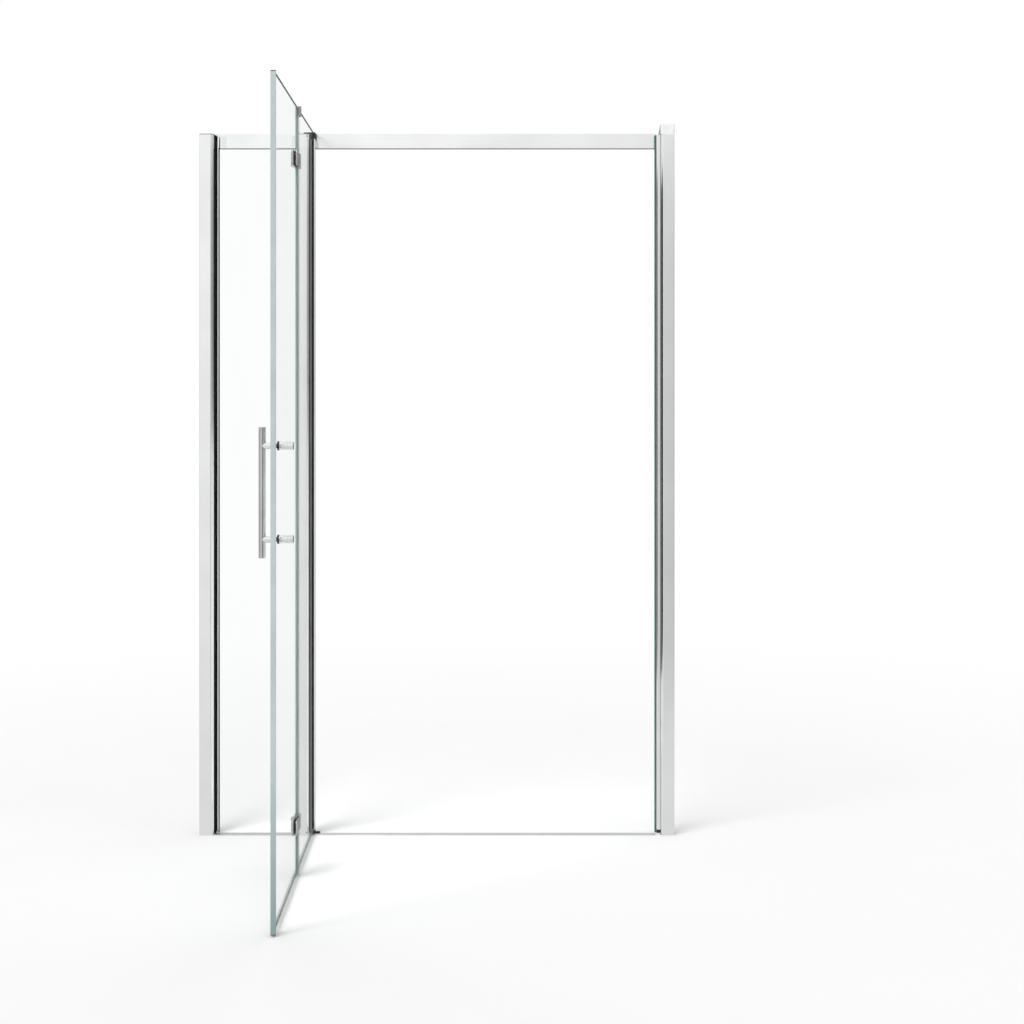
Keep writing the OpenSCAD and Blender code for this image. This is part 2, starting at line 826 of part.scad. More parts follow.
module hinge_pads(side) {
  on_door() for (zc = hinge_zs, y0 = [-half_t - pad_t, half_t]) at_hinge(side, zc) difference() {
    hinge_plate(y0, y0 + pad_t);
    hinge_screw_holes(hinge_screw_d / 2, y0 - 1, y0 + pad_t + 1);
  }
}

module inner_leaf_hinge_pads() {
  color("lightgray") hinge_pads(-1);
}

module outer_leaf_hinge_pads() {
  color("lightgray") hinge_pads(1);
}

module hinge_screws(side) {
  head = half_t + pad_t + inner_plate_t;
  on_door() for (zc = hinge_zs) at_hinge(side, zc) for (dz = [-1, 1])
    screw_y(screw_x, dz * screw_step / 2, hinge_screw_d, hinge_head_d, hinge_head_t,
      head, -half_t - pad_t - outer_plate_t + 1);
}

module inner_leaf_hinge_screws() {
  color("silver") hinge_screws(-1);
}

module outer_leaf_hinge_screws() {
  color("silver") hinge_screws(1);
}

module fold_pins() {
  color("silver") on_door() for (zc = hinge_zs)
    translate([inner_leaf_l, fold_axis_y, zc - plate_h / 2]) cylinder(r = fold_pin_r, h = plate_h);
}

// Outer leaf
handle_holes = [for (z = handle_zs) [handle_x, z, stud_d / 2 + 1]];

module outer_leaf_glass() {
  color("lightcyan", 0.4) on_door() difference() {
    box([outer_glass_start, -half_t, leaf_bottom], [outer_glass_end, half_t, leaf_top]);
    glass_holes(hinge_holes(1, glass_hole_r));
    glass_holes(handle_holes);
  }
}

module closing_seal() {
  outer = half_t + seal_wall;
  half = magnet_seal_t / 2;
  color("lightcyan") on_door() upright(leaf_clearance + cap_t, leaf_top - cap_t) {
    difference() {
      rect(outer_glass_end - closing_grip, outer_glass_end + joggle, -outer, outer);
      rect(outer_glass_end - closing_grip - 1, outer_glass_end + 1, -half_t, half_t);
    }
    difference() {
      round_rect(outer_glass_end, closed_end, -half, half, 1);
      rect(outer_glass_end + seal_wall, closed_end - magnet_t, -half + seal_wall, half - seal_wall);
    }
  }
}

module closing_seal_caps() {
  half = magnet_seal_t / 2;
  color("dimgray") on_door() for (z = [leaf_clearance, leaf_top - cap_t]) upright(z, z + cap_t)
    round_rect(outer_glass_end, closed_end, -half, half, 1);
}

module outer_leaf_drip_seal() {
  color("lightcyan") drip_seal(outer_glass_start, outer_glass_end - closing_grip - seal_gap);
}

// Handle
module handle_bar() {
  color("silver") on_door() translate([handle_x, -half_t - handle_out, handle_z - handle_l / 2]) {
    cylinder(r1 = handle_d / 2 - 1, r2 = handle_d / 2, h = 1);
    translate([0, 0, 1]) cylinder(d = handle_d, h = handle_l - 2);
    translate([0, 0, handle_l - 1]) cylinder(r1 = handle_d / 2, r2 = handle_d / 2 - 1, h = 1);
  }
}

module handle_standoffs() {
  color("silver") on_door() difference() {
    for (z = handle_zs) along_y(handle_x, z, standoff_d / 2, -half_t - handle_out, -half_t - washer_t, $fn);
    translate([handle_x, -half_t - handle_out, handle_z - handle_l]) cylinder(d = handle_d, h = 2 * handle_l);
    for (z = handle_zs) along_y(handle_x, z, stud_d / 2, -half_t - stud_out, 0);
  }
}

module handle_collars() {
  color("black") on_door() for (z = handle_zs) difference() {
    union() {
      along_y(handle_x, z, collar_d / 2, half_t, half_t + collar_t, $fn);
      along_y(handle_x, z, standoff_d / 2 + 1, -half_t - washer_t, -half_t, $fn);
    }
    along_y(handle_x, z, stud_d / 2, -half_t - collar_t, half_t + collar_t + 1);
    along_y(handle_x, z, stud_d / 2 + 1, -half_t, half_t);
  }
}

module handle_knobs() {
  y0 = half_t + collar_t;
  y1 = half_t + knob_l;
  color("silver") on_door() for (z = handle_zs) difference() {
    union() {
      along_y(handle_x, z, knob_d / 2, y0, y1 - 1, $fn);
      translate([handle_x, y1 - 1, z]) rotate([-90, 0, 0])
        cylinder(r1 = knob_d / 2, r2 = knob_d / 2 - 1, h = 1);
    }
    along_y(handle_x, z, stud_d / 2, y0 - 1, half_t + stud_in);
  }
}

module handle_studs() {
  color("dimgray") on_door() for (z = handle_zs)
    along_y(handle_x, z, stud_d / 2, -half_t - stud_out, half_t + stud_in);
}

wall_channel_left();
wall_channel_right();
pane_profile();
frame_profile_right();
strike_profile();
strike_seal();
profile_cap_left();
profile_cap_right();
profile_lock_screws();
top_rail();
rail_strip();
rail_brackets();
rail_screws();
pane_rail_pads();
threshold_bar();
threshold_end_cap();
threshold_strike_end();
strike_foot();
pane_base_bar();
pane_base_gasket();
hinge_post();
post_top_cap();
post_lip_seal();
fixed_pane();
pane_front_gasket();
pane_rear_gasket();
post_gasket();
upper_pivot_block();
lower_pivot_block();
upper_pivot_bush();
lower_pivot_bush();
pivot_block_screws();
inner_leaf_glass();
pivot_rail();
pivot_rail_gasket();
upper_pivot_pin();
lower_pivot_pin();
inner_leaf_drip_seal();
joint_seal();
joint_seal_cap();
inner_leaf_upper_knuckle();
inner_leaf_lower_knuckle();
inner_leaf_back_plates();
inner_leaf_hinge_pads();
inner_leaf_hinge_screws();
outer_leaf_glass();
closing_seal();
closing_seal_caps();
outer_leaf_drip_seal();
outer_leaf_upper_knuckle();
outer_leaf_lower_knuckle();
outer_leaf_back_plates();
outer_leaf_hinge_pads();
outer_leaf_hinge_screws();
fold_pins();
handle_bar();
handle_standoffs();
handle_collars();
handle_knobs();
handle_studs();
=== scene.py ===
import json
from math import cos, pi, radians, sin, tau

import bmesh
import bpy
from bpy.props import FloatProperty, FloatVectorProperty, PointerProperty
from mathutils import Matrix, Vector


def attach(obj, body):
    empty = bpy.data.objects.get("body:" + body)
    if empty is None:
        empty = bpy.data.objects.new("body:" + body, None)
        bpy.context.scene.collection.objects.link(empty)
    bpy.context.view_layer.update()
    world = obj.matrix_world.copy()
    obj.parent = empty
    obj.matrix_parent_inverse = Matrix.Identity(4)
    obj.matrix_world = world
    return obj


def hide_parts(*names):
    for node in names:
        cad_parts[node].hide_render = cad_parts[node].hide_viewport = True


bl_info = {
    "name": "Folding shower door",
    "version": (1, 0, 0),
    "blender": (4, 5, 0),
    "location": "3D Viewport > Sidebar > Shower Door",
    "description": "Builds the visible pieces, finishes, light and camera of a folding shower door",
    "category": "Object",
}

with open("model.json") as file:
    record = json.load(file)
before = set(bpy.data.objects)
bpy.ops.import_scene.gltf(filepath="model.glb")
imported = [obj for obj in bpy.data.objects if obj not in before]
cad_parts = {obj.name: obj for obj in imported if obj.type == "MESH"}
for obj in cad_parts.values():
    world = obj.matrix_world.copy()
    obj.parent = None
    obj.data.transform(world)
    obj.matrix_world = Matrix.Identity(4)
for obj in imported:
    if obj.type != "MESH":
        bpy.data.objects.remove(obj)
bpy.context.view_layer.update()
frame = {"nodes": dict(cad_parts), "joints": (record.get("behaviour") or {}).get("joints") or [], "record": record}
NODES = frame["nodes"]
JOINTS = {joint["name"]: joint for joint in frame["joints"]}
PIVOT = Vector(JOINTS["door_swing"]["pos_m"])
OPEN_ANGLE = radians(JOINTS["door_swing"]["range_deg"][1])
LEAF_TO_WORLD = Matrix.Translation((PIVOT.x, PIVOT.y, 0)) @ Matrix.Rotation(-OPEN_ANGLE, 4, "Z")
WORLD_TO_LEAF = LEAF_TO_WORLD.inverted()
STILL = Matrix.Identity(4)
RECORD = frame["record"]
BODY_OF = {node: body for body, nodes in RECORD["behaviour"]["bodies"].items() for node in nodes}
MM = 0.001


# Colours and sizes that a user would change
class DoorFinish(bpy.types.PropertyGroup):
    metal: FloatVectorProperty(
        name="Bright metal", description="Colour of the polished profiles, rail, hinges and handle",
        subtype="COLOR", size=3, min=0, max=1, default=(0.87, 0.875, 0.88))
    metal_roughness: FloatProperty(
        name="Metal roughness", description="How much the polished profiles blur a reflection",
        min=0.02, max=0.6, default=0.13)
    hinge: FloatVectorProperty(
        name="Hinge metal", description="Colour of the satin hinge plates",
        subtype="COLOR", size=3, min=0, max=1, default=(0.60, 0.60, 0.59))
    glass: FloatVectorProperty(
        name="Glass tint", description="Colour of light that has passed one face of the glass",
        subtype="COLOR", size=3, min=0, max=1, default=(0.972, 0.985, 0.98))
    glass_edge: FloatVectorProperty(
        name="Glass edge", description="Green of the ground upright edges of the glass",
        subtype="COLOR", size=3, min=0, max=1, default=(0.31, 0.40, 0.38))
    seal: FloatVectorProperty(
        name="Clear seals", description="Colour of the clear flexible seals",
        subtype="COLOR", size=3, min=0, max=1, default=(0.80, 0.86, 0.85))
    closing_strip: FloatVectorProperty(
        name="Closing strip", description="Colour of the milky strip on the closing edge",
        subtype="COLOR", size=3, min=0, max=1, default=(0.66, 0.74, 0.75))
    rubber: FloatVectorProperty(
        name="Gaskets", description="Colour of the dark gaskets and collars",
        subtype="COLOR", size=3, min=0, max=1, default=(0.010, 0.011, 0.011))
    cap: FloatVectorProperty(
        name="Pale plastic", description="Colour of the pale moulded pieces",
        subtype="COLOR", size=3, min=0, max=1, default=(0.80, 0.80, 0.79))


class DoorSizes(bpy.types.PropertyGroup):
    glass_chamfer: FloatProperty(
        name="Glass chamfer", description="Width of the ground chamfer along the glass edges",
        subtype="DISTANCE", unit="LENGTH", min=0.0001, max=0.002, default=0.6 * MM)
    edge_round: FloatProperty(
        name="Edge radius", description="Rounding of the moulded and cast pieces",
        subtype="DISTANCE", unit="LENGTH", min=0.0001, max=0.001, default=0.4 * MM)
    bar_groove: FloatProperty(
        name="Handle groove", description="Depth of the turned grooves on the bar and the knobs",
        subtype="DISTANCE", unit="LENGTH", min=0.0001, max=0.001, default=0.35 * MM)
    socket_share: FloatProperty(
        name="Screw socket", description="Width of the hexagon socket as a share of the screw head",
        min=0.3, max=0.7, default=0.5)


class DoorStudio(bpy.types.PropertyGroup):
    ambient: FloatProperty(
        name="Ambient light", description="Strength of the even light from all around",
        min=0, max=2, default=0.72)
    key: FloatProperty(
        name="Key light", description="Strength of the wide soft lamp high in front",
        min=0, max=10, default=1.0)


# Materials
# Height over which the painted shade at the foot of a seal or glass edge fades out
PAINTED_SHADE_UP_TO = 0.4
# Nearly all values of a noise lie between these two
NOISE_LOW = 0.3
NOISE_HIGH = 0.7


class Sketch:
    """Short way to add shader nodes to one node tree"""

    def __init__(self, tree):
        self.tree = tree

    def add(self, kind, inputs=(), **values):
        """New node with its properties set, and its sockets linked where the value is a socket"""
        node = self.tree.nodes.new(kind)
        for key, value in values.items():
            setattr(node, key, value)
        for key, value in dict(inputs).items():
            if isinstance(value, bpy.types.NodeSocket):
                self.tree.links.new(value, node.inputs[key])
            else:
                node.inputs[key].default_value = value
        return node

    def mix(self, data_type, factor, first, second):
        """Result socket of a mix of two colours or numbers"""
        mix = self.add("ShaderNodeMix", {"Factor": factor}, data_type=data_type)
        for socket, value in (("A", first), ("B", second)):
            if isinstance(value, bpy.types.NodeSocket):
                self.tree.links.new(value, mix.inputs[socket])
            else:
                mix.inputs[socket].default_value = value
        return mix.outputs["Result"]

    def math(self, operation, first, second):
        """Result socket of one sum or comparison"""
        return self.add("ShaderNodeMath", {0: first, 1: second}, operation=operation).outputs[0]


class MaterialSketch(Sketch):
    """Nodes of one new material around its principled shader"""

    def __init__(self, name):
        self.material = bpy.data.materials.new(name)
        self.material.use_nodes = True
        super().__init__(self.material.node_tree)
        self.shader = self.tree.nodes["Principled BSDF"]
        self.output = self.tree.nodes["Material Output"]

    def link(self, source, socket):
        self.tree.links.new(source, self.shader.inputs[socket])

    def set(self, **values):
        for key, value in values.items():
            self.shader.inputs[key.replace("_", " ")].default_value = value

    def noise(self, scale, detail=3.0, offset=(0, 0, 0)):
        """Noise with its own scale along each axis of the object"""
        coordinate = self.add("ShaderNodeTexCoord")
        mapping = self.add("ShaderNodeMapping", {
            "Vector": coordinate.outputs["Object"], "Scale": scale, "Location": offset})
        noise = self.add("ShaderNodeTexNoise", {
            "Vector": mapping.outputs["Vector"], "Scale": 1.0, "Detail": detail, "Roughness": 0.55})
        return noise.outputs["Fac"]

    def spread(self, noise, low=0.0, high=1.0):
        """Takes the middle part of a noise to a range"""
        return self.add("ShaderNodeMapRange", {"Value": noise, "From Min": NOISE_LOW,
            "From Max": NOISE_HIGH, "To Min": low, "To Max": high}).outputs["Result"]

    def mottle(self, noise, colour, low, high):
        """Base colour that wanders between two shades of one colour"""
        shades = [(*shade(colour, factor), 1) for factor in (low, high)]
        self.link(self.mix("RGBA", self.spread(noise), *shades), "Base Color")

    def roughen(self, noise, low, high):
        """Roughness that wanders between two values"""
        self.link(self.spread(noise, low, high), "Roughness")

    def painted_shade_foot(self, colour):
        """Painted shade: takes the base colour over to a darker one towards the floor"""
        coordinate = self.add("ShaderNodeTexCoord")
        place = self.add("ShaderNodeSeparateXYZ", {0: coordinate.outputs["Object"]})
        height = self.add("ShaderNodeMapRange", {
            "Value": place.outputs["Z"], "From Min": 0.0, "From Max": PAINTED_SHADE_UP_TO})
        above = self.shader.inputs["Base Color"].links[0].from_socket
        self.link(self.mix("RGBA", height.outputs["Result"], (*colour, 1), above), "Base Color")

    def bump(self, height, strength, distance):
        node = self.add("ShaderNodeBump", {
            "Height": height, "Strength": strength, "Distance": distance})
        self.link(node.outputs["Normal"], "Normal")

    def blend_over(self, factor, top):
        """Puts a mix of the principled shader and another one on the surface"""
        mix = self.add("ShaderNodeMixShader", {0: factor, 1: self.shader.outputs["BSDF"], 2: top})
        self.tree.links.new(mix.outputs["Shader"], self.output.inputs["Surface"])


def shade(colour, factor):
    return tuple(min(1.0, channel * factor) for channel in colour)


def drawn_metal(name, colour, roughness, grain, depth=0.00002):
    """Polished metal with the faint lines of an extrusion; grain is small along the lines"""
    sketch = MaterialSketch(name)
    sketch.set(Metallic=1.0)
    lines = sketch.noise(grain, 4.0)
    clouds = sketch.noise((6, 6, 6), 2.0, (3, 1, 2))
    sketch.mottle(clouds, colour, 0.96, 1.03)
    sketch.roughen(lines, roughness * 0.75, roughness * 1.3)
    sketch.bump(lines, 0.25, depth)
    return sketch.material


def cast_metal(name, colour, roughness, buffing=0.12):
    """Chromed or zinc-plated piece with soft buffing marks"""
    sketch = MaterialSketch(name)
    sketch.set(Metallic=1.0)
    marks = sketch.noise((160, 160, 160))
    patches = sketch.noise((25, 25, 25), 2.0, (5, 4, 1))
    sketch.mottle(patches, colour, 0.93, 1.04)
    sketch.roughen(marks, roughness * 0.7, roughness * 1.4)
    sketch.bump(marks, buffing, 0.00005)
    return sketch.material


def moulded_plastic(name, colour, roughness, gloss=0.5):
    """Moulded plastic or rubber with a fine texture and slightly uneven colour"""
    sketch = MaterialSketch(name)
    sketch.set(IOR=1.49, Specular_IOR_Level=gloss)
    texture = sketch.noise((900, 900, 900), 2.0)
    patches = sketch.noise((30, 30, 30), 3.0, (2, 7, 4))
    sketch.mottle(patches, colour, 0.9, 1.07)
    sketch.roughen(patches, roughness * 0.85, roughness * 1.2)
    sketch.bump(texture, 0.2, 0.00006)
    return sketch.material


def clear_vinyl(name, colour, grain, clearness=0.82, cover=1.0, foot=None):
    """Clear flexible seal, more or less milky, with the fine lines of its extrusion.
    The foot is a painted shade, the darker colour the seal takes towards the floor"""
    sketch = MaterialSketch(name)
    sketch.set(IOR=1.02, Transmission_Weight=clearness, Alpha=cover)
    sketch.set(Coat_Weight=0.15, Coat_IOR=1.5, Coat_Roughness=0.15)
    lines = sketch.noise(grain)
    patches = sketch.noise((12, 12, 12), 2.0, (4, 2, 6))
    sketch.mottle(patches, colour, 0.94, 1.05)
    if foot:
        sketch.painted_shade_foot(foot)
    sketch.roughen(lines, 0.12, 0.26)
    sketch.bump(lines, 0.3, 0.00005)
    return sketch.material


def toughened_glass(name, tint):
    """Clear float glass that mirrors little and bends nothing, as in thin panes seen from far"""
    sketch = MaterialSketch(name)
    sketch.set(IOR=1.005, Transmission_Weight=1.0)
    sketch.set(Coat_Weight=0.06, Coat_IOR=1.5, Coat_Roughness=0.01)
    smears = sketch.noise((9, 9, 3), 5.0, (1, 2, 3))
    sketch.mottle(smears, tint, 0.996, 1.004)
    sketch.roughen(smears, 0.0, 0.015)
    path = sketch.add("ShaderNodeLightPath")
    clear = sketch.add("ShaderNodeBsdfTransparent", {"Color": (*shade(tint, 0.97), 1)})
    sketch.blend_over(path.outputs["Is Shadow Ray"], clear.outputs["BSDF"])
    return sketch.material


def ground_edge(name, tint, foot=None):
    """Green edge of the glass, ground smooth, uneven in depth.
    The foot is a painted shade, the darker colour the edge takes towards the floor"""
    sketch = MaterialSketch(name)
    sketch.set(IOR=1.02, Transmission_Weight=0.1)
    streaks = sketch.noise((300, 300, 5), 4.0)
    sketch.mottle(streaks, tint, 0.85, 1.15)
    if foot:
        sketch.painted_shade_foot(foot)
    sketch.roughen(streaks, 0.22, 0.38)
    sketch.bump(streaks, 0.15, 0.00004)
    return sketch.material


# Scales of noise that is drawn out along an upright, along the rail or along a leaf's lower edge
UPRIGHT_LINES = (700, 700, 3)
RAIL_LINES = (3, 700, 700)
UPRIGHT_SEAL = (500, 500, 4)
LEVEL_SEAL = (500, 4, 500)
FINE_LINES = 0.000006


def make_finishes(finish):
    metal = tuple(finish.metal)
    edge = tuple(finish.glass_edge)
    rubber = tuple(finish.rubber)
    return {
        "upright": drawn_metal("Polished upright", metal, finish.metal_roughness, UPRIGHT_LINES),
        # Painted highlight: the rail gets a brighter copy of the upright metal
        "rail": drawn_metal("Polished rail with painted highlight", shade(metal, 1.1), 0.2, RAIL_LINES, FINE_LINES),
        # Painted shade: the threshold bars get a darker copy of the metal
        "threshold": drawn_metal("Threshold metal with painted shade", shade(metal, 0.75), 0.3, RAIL_LINES,
            FINE_LINES),
        "channel": drawn_metal("Mill aluminium", shade(metal, 0.75), 0.38, UPRIGHT_LINES, 0.00005),
        # Tall cap: a brighter copy of the metal on its broad faces is a painted highlight, a darker copy on its
        # rims and slanted side a painted shade
        "chrome": cast_metal("Chrome", shade(metal, 1.12), 0.08),
        "chrome painted shade": cast_metal("Chrome painted shade", shade(metal, 0.55), 0.15),
        # Painted shade: the handle bar gets a darker copy of the metal than its knobs
        "handle": cast_metal("Handle chrome with painted shade", shade(metal, 0.7), 0.2, 0.02),
        "knob": cast_metal("Knob chrome", metal, 0.2, 0.02),
        "hinge": cast_metal("Satin hinge metal", tuple(finish.hinge), 0.3),
        "steel": cast_metal("Stainless steel", shade(metal, 0.7), 0.22),
        "glass": toughened_glass("Toughened glass", tuple(finish.glass)),
        # Painted shade: the upright glass edges darken towards the floor
        "upright edge": ground_edge("Ground upright edge", edge, shade(edge, 0.6)),
        # Painted shade: the level glass edges get a far darker green than the upright ones
        "level edge painted shade": ground_edge("Ground level edge painted shade", (0.02, 0.072, 0.06)),
        "strike seal": clear_vinyl("Green strike seal", (0.13, 0.25, 0.22), UPRIGHT_SEAL, 0.3),
        "joint seal": clear_vinyl("Green joint seal", (0.40, 0.51, 0.49), UPRIGHT_SEAL, 0.25),
        "joint lip": clear_vinyl("Clear joint lip", (0.72, 0.80, 0.79), UPRIGHT_SEAL, 0.8, 0.3),
        "pad": clear_vinyl("Clear pad", (0.86, 0.88, 0.88), (300, 300, 300), 0.8, 0.1),
        "drip seal": clear_vinyl("Clear drip seal", tuple(finish.seal), LEVEL_SEAL, 0.8, 0.4),
        # Painted shade: the closing strip darkens and turns greener towards the floor
        "closing strip": clear_vinyl("Milky closing strip", tuple(finish.closing_strip),
            UPRIGHT_SEAL, 0.25, foot=(0.34, 0.47, 0.47)),
        "joint cap": moulded_plastic("Joint cap", (0.34, 0.32, 0.33), 0.3),
        "rubber": moulded_plastic("Black gasket", rubber, 0.6, 0.12),
        # Painted reflection: the grey outer part of the pivot rail gasket stands in for the rail's metal edge and
        # what it mirrors
        "gasket painted reflection": moulded_plastic("Gasket painted reflection", (0.17, 0.165, 0.165), 0.6, 0.12),
        "dark plastic": moulded_plastic("Dark plastic", shade(rubber, 1.3), 0.42),
        "pale plastic": moulded_plastic("Pale plastic", tuple(finish.cap), 0.3),
        "grey plastic": moulded_plastic("Grey plastic", (0.20, 0.205, 0.205), 0.35),
    }


MADE = {}

NODE_FINISH = {
    "wall_channel_left": "channel", "wall_channel_right": "channel", "pane_profile": "upright",
    "frame_profile_right": "upright", "strike_profile": "upright", "strike_seal": "strike seal",
    "profile_cap_left": "grey plastic", "profile_cap_right": "chrome",
    "profile_lock_screws": "steel", "top_rail": "rail", "rail_brackets": "rail",
    "rail_strip": "rubber", "rail_screws": "steel", "pane_rail_pads": "pad",
    "threshold_bar": "threshold",
    "threshold_end_cap": "dark plastic", "threshold_strike_end": "pale plastic",
    "strike_foot": "dark plastic", "pane_base_bar": "threshold", "pane_base_gasket": "drip seal",
    "hinge_post": "upright", "post_top_cap": "grey plastic", "post_lip_seal": "rubber",
    "fixed_pane": "glass", "pane_front_gasket": "rubber", "pane_rear_gasket": "rubber",
    "post_gasket": "rubber", "upper_pivot_block": "dark plastic",
    "lower_pivot_block": "dark plastic", "upper_pivot_bush": "pale plastic",
    "lower_pivot_bush": "pale plastic", "pivot_block_screws": "steel",
    "inner_leaf_glass": "glass", "pivot_rail": "upright", "pivot_rail_gasket": "rubber",
    "upper_pivot_pin": "steel", "lower_pivot_pin": "steel", "inner_leaf_drip_seal": "drip seal",
    "joint_seal": "joint seal", "joint_seal_cap": "joint cap",
    "inner_leaf_upper_knuckle": "hinge", "inner_leaf_lower_knuckle": "hinge",
    "inner_leaf_back_plates": "hinge", "inner_leaf_hinge_pads": "rubber",
    "inner_leaf_hinge_screws": "steel", "outer_leaf_glass": "glass",
    "closing_seal": "closing strip", "closing_seal_caps": "dark plastic",
    "outer_leaf_drip_seal": "drip seal", "outer_leaf_upper_knuckle": "hinge",
    "outer_leaf_lower_knuckle": "hinge", "outer_leaf_back_plates": "hinge",
    "outer_leaf_hinge_pads": "rubber", "outer_leaf_hinge_screws": "steel",
    "fold_pins": "steel", "handle_bar": "handle", "handle_standoffs": "knob",
    "handle_collars": "dark plastic", "handle_knobs": "knob", "handle_studs": "steel",
}


class SHOWER_OT_finishes(bpy.types.Operator):
    """Gives every carried solid of the door its finish"""
    bl_idname = "shower_door.finishes"
    bl_label = "Finishes"

    def execute(self, context):
        MADE.update(make_finishes(context.scene.shower_door_finish))
        for name, finish in NODE_FINISH.items():
            slots = NODES[name].data.materials
            slots.clear()
            slots.append(MADE[finish])
        return {"FINISHED"}


# Shapes
JOIN_GAP = 0.005 * MM
FLAT_ANGLE = radians(1)
# Angle under which two faces share a smooth edge, on drawn, rounded and glass pieces
SMOOTH_DRAWN = radians(35)
SMOOTH_ROUNDED = radians(50)
SMOOTH_GLASS = radians(20)
SHARP_ANGLE = radians(40)


def joined(node):
    """A carried solid with its loose triangles joined and its flat faces made whole"""
    shape = bmesh.new()
    shape.from_mesh(NODES[node].data)
    bmesh.ops.remove_doubles(shape, verts=shape.verts, dist=JOIN_GAP)
    bmesh.ops.dissolve_limit(shape, angle_limit=FLAT_ANGLE, verts=shape.verts, edges=shape.edges)
    return shape


def solid_boxes(node, to_local):
    """Lowest and highest corner of every separate solid in a node, in the space of to_local"""
    shape = joined(node)
    left = set(shape.verts)
    boxes = []
    while left:
        found = {left.pop()}
        edge = list(found)
        while edge:
            for link in edge.pop().link_edges:
                for vert in link.verts:
                    if vert in left:
                        left.discard(vert)
                        found.add(vert)
                        edge.append(vert)
        places = [to_local @ vert.co for vert in found]
        low = Vector([min(place[axis] for place in places) for axis in range(3)])
        high = Vector([max(place[axis] for place in places) for axis in range(3)])
        boxes.append((low, high))
    shape.free()
    return sorted(boxes, key=lambda corners: tuple(round(value, 5) for value in corners[0]))


def finish_mesh(shape, name, smooth_angle=SMOOTH_DRAWN):
    """Turns a shape into a mesh that is smooth up to an angle, with its faces pointing outwards"""
    bmesh.ops.recalc_face_normals(shape, faces=shape.faces)
    for face in shape.faces:
        face.smooth = True
    mesh = bpy.data.meshes.new(name)
    shape.to_mesh(mesh)
    shape.free()
    steady_normals(mesh, smooth_angle)
    return mesh


def steady_normals(mesh, limit):
    """Lets the large flat faces keep their own direction, so that only the rims bend the light"""
    faces = mesh.polygons
    around = [[] for vert in mesh.vertices]
    for face in faces:
        for vert in face.vertices:
            around[vert].append(face)
    normals = [Vector((0, 0, 1))] * len(mesh.loops)
    for face in faces:
        for loop in face.loop_indices:
            total = Vector()
            for near in around[mesh.loops[loop].vertex_index]:
                if near.normal.angle(face.normal, 0) < limit:
                    total += near.normal * near.area
            normals[loop] = total.normalized() if total.length else face.normal.copy()
    mesh.normals_split_custom_set(normals)


def place_piece(name, mesh, *nodes, finishes=None):
    """Puts a finished mesh in the scene for the nodes that it stands for"""
    piece = bpy.data.objects.new(name, mesh)
    bpy.context.collection.objects.link(piece)
    for finish in finishes or (NODE_FINISH[nodes[0]],):
        mesh.materials.append(MADE[finish])
    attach(piece, BODY_OF[nodes[0]])
    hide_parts(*nodes)
    return piece


def round_edges(shape, width, segments=2):
    """Rounds every sharp edge"""
    sharp = [edge for edge in shape.edges
        if len(edge.link_faces) == 2 and edge.calc_face_angle(0) > SHARP_ANGLE]
    bmesh.ops.bevel(shape, geom=sharp, offset=width, segments=segments, profile=0.5,
        affect="EDGES", clamp_overlap=True)


def place_rounded(node, width, segments=2):
    """Puts the solid of a node in the scene with its sharp edges rounded"""
    shape = joined(node)
    round_edges(shape, width, segments)
    place_piece("rounded_" + node, finish_mesh(shape, node, SMOOTH_ROUNDED), node)


# Drawn and moulded pieces
DRAWN_NODES = ("pane_profile", "frame_profile_right", "strike_profile", "hinge_post", "pivot_rail",
    "top_rail", "strike_seal", "closing_seal", "pane_front_gasket", "wall_channel_left",
    "wall_channel_right")
# Extrusions of two colours, where the grey outer part of the pivot rail gasket is a painted reflection: their
# finishes, and how far from the middle of the leaf the second one starts, towards the inside where it is above
# zero and towards the outside where it is below
TWO_TONE_AND_PAINTED_REFLECTION = {
    "joint_seal": (("joint seal", "joint lip"), 4.5 * MM),
    "pivot_rail_gasket": (("rubber", "gasket painted reflection"), -3.0 * MM),
}
MOULDED_NODES = ("profile_cap_left", "post_top_cap", "rail_brackets", "threshold_end_cap",
    "threshold_strike_end", "strike_foot", "threshold_bar", "pane_base_bar", "joint_seal_cap",
    "upper_pivot_block", "lower_pivot_block", "pane_rail_pads", "closing_seal_caps")
TALL_CAP_ROUND = 1.5 * MM
# Least part of a face's normal along y, or up along z, that gets the tall cap's painted highlight; the other faces
# get its painted shade
BROAD_FACE = cos(radians(18))
HINGE_NODES = ("inner_leaf_upper_knuckle", "inner_leaf_lower_knuckle", "inner_leaf_back_plates",
    "outer_leaf_upper_knuckle", "outer_leaf_lower_knuckle", "outer_leaf_back_plates")


class SHOWER_OT_drawn_profiles(bpy.types.Operator):
    """Uprights, rail and upright seals with smooth rounded corners"""
    bl_idname = "shower_door.drawn_profiles"
    bl_label = "Drawn profiles"

    def execute(self, context):
        for node in DRAWN_NODES:
            place_piece("smooth_" + node, finish_mesh(joined(node), node), node)
        for node, (finishes, start) in TWO_TONE_AND_PAINTED_REFLECTION.items():
            shape = joined(node)
            for face in shape.faces:
                out = (WORLD_TO_LEAF @ face.calc_center_median()).y
                face.material_index = 1 if out / start > 1 else 0
            place_piece("smooth_" + node, finish_mesh(shape, node), node, finishes=finishes)
        return {"FINISHED"}


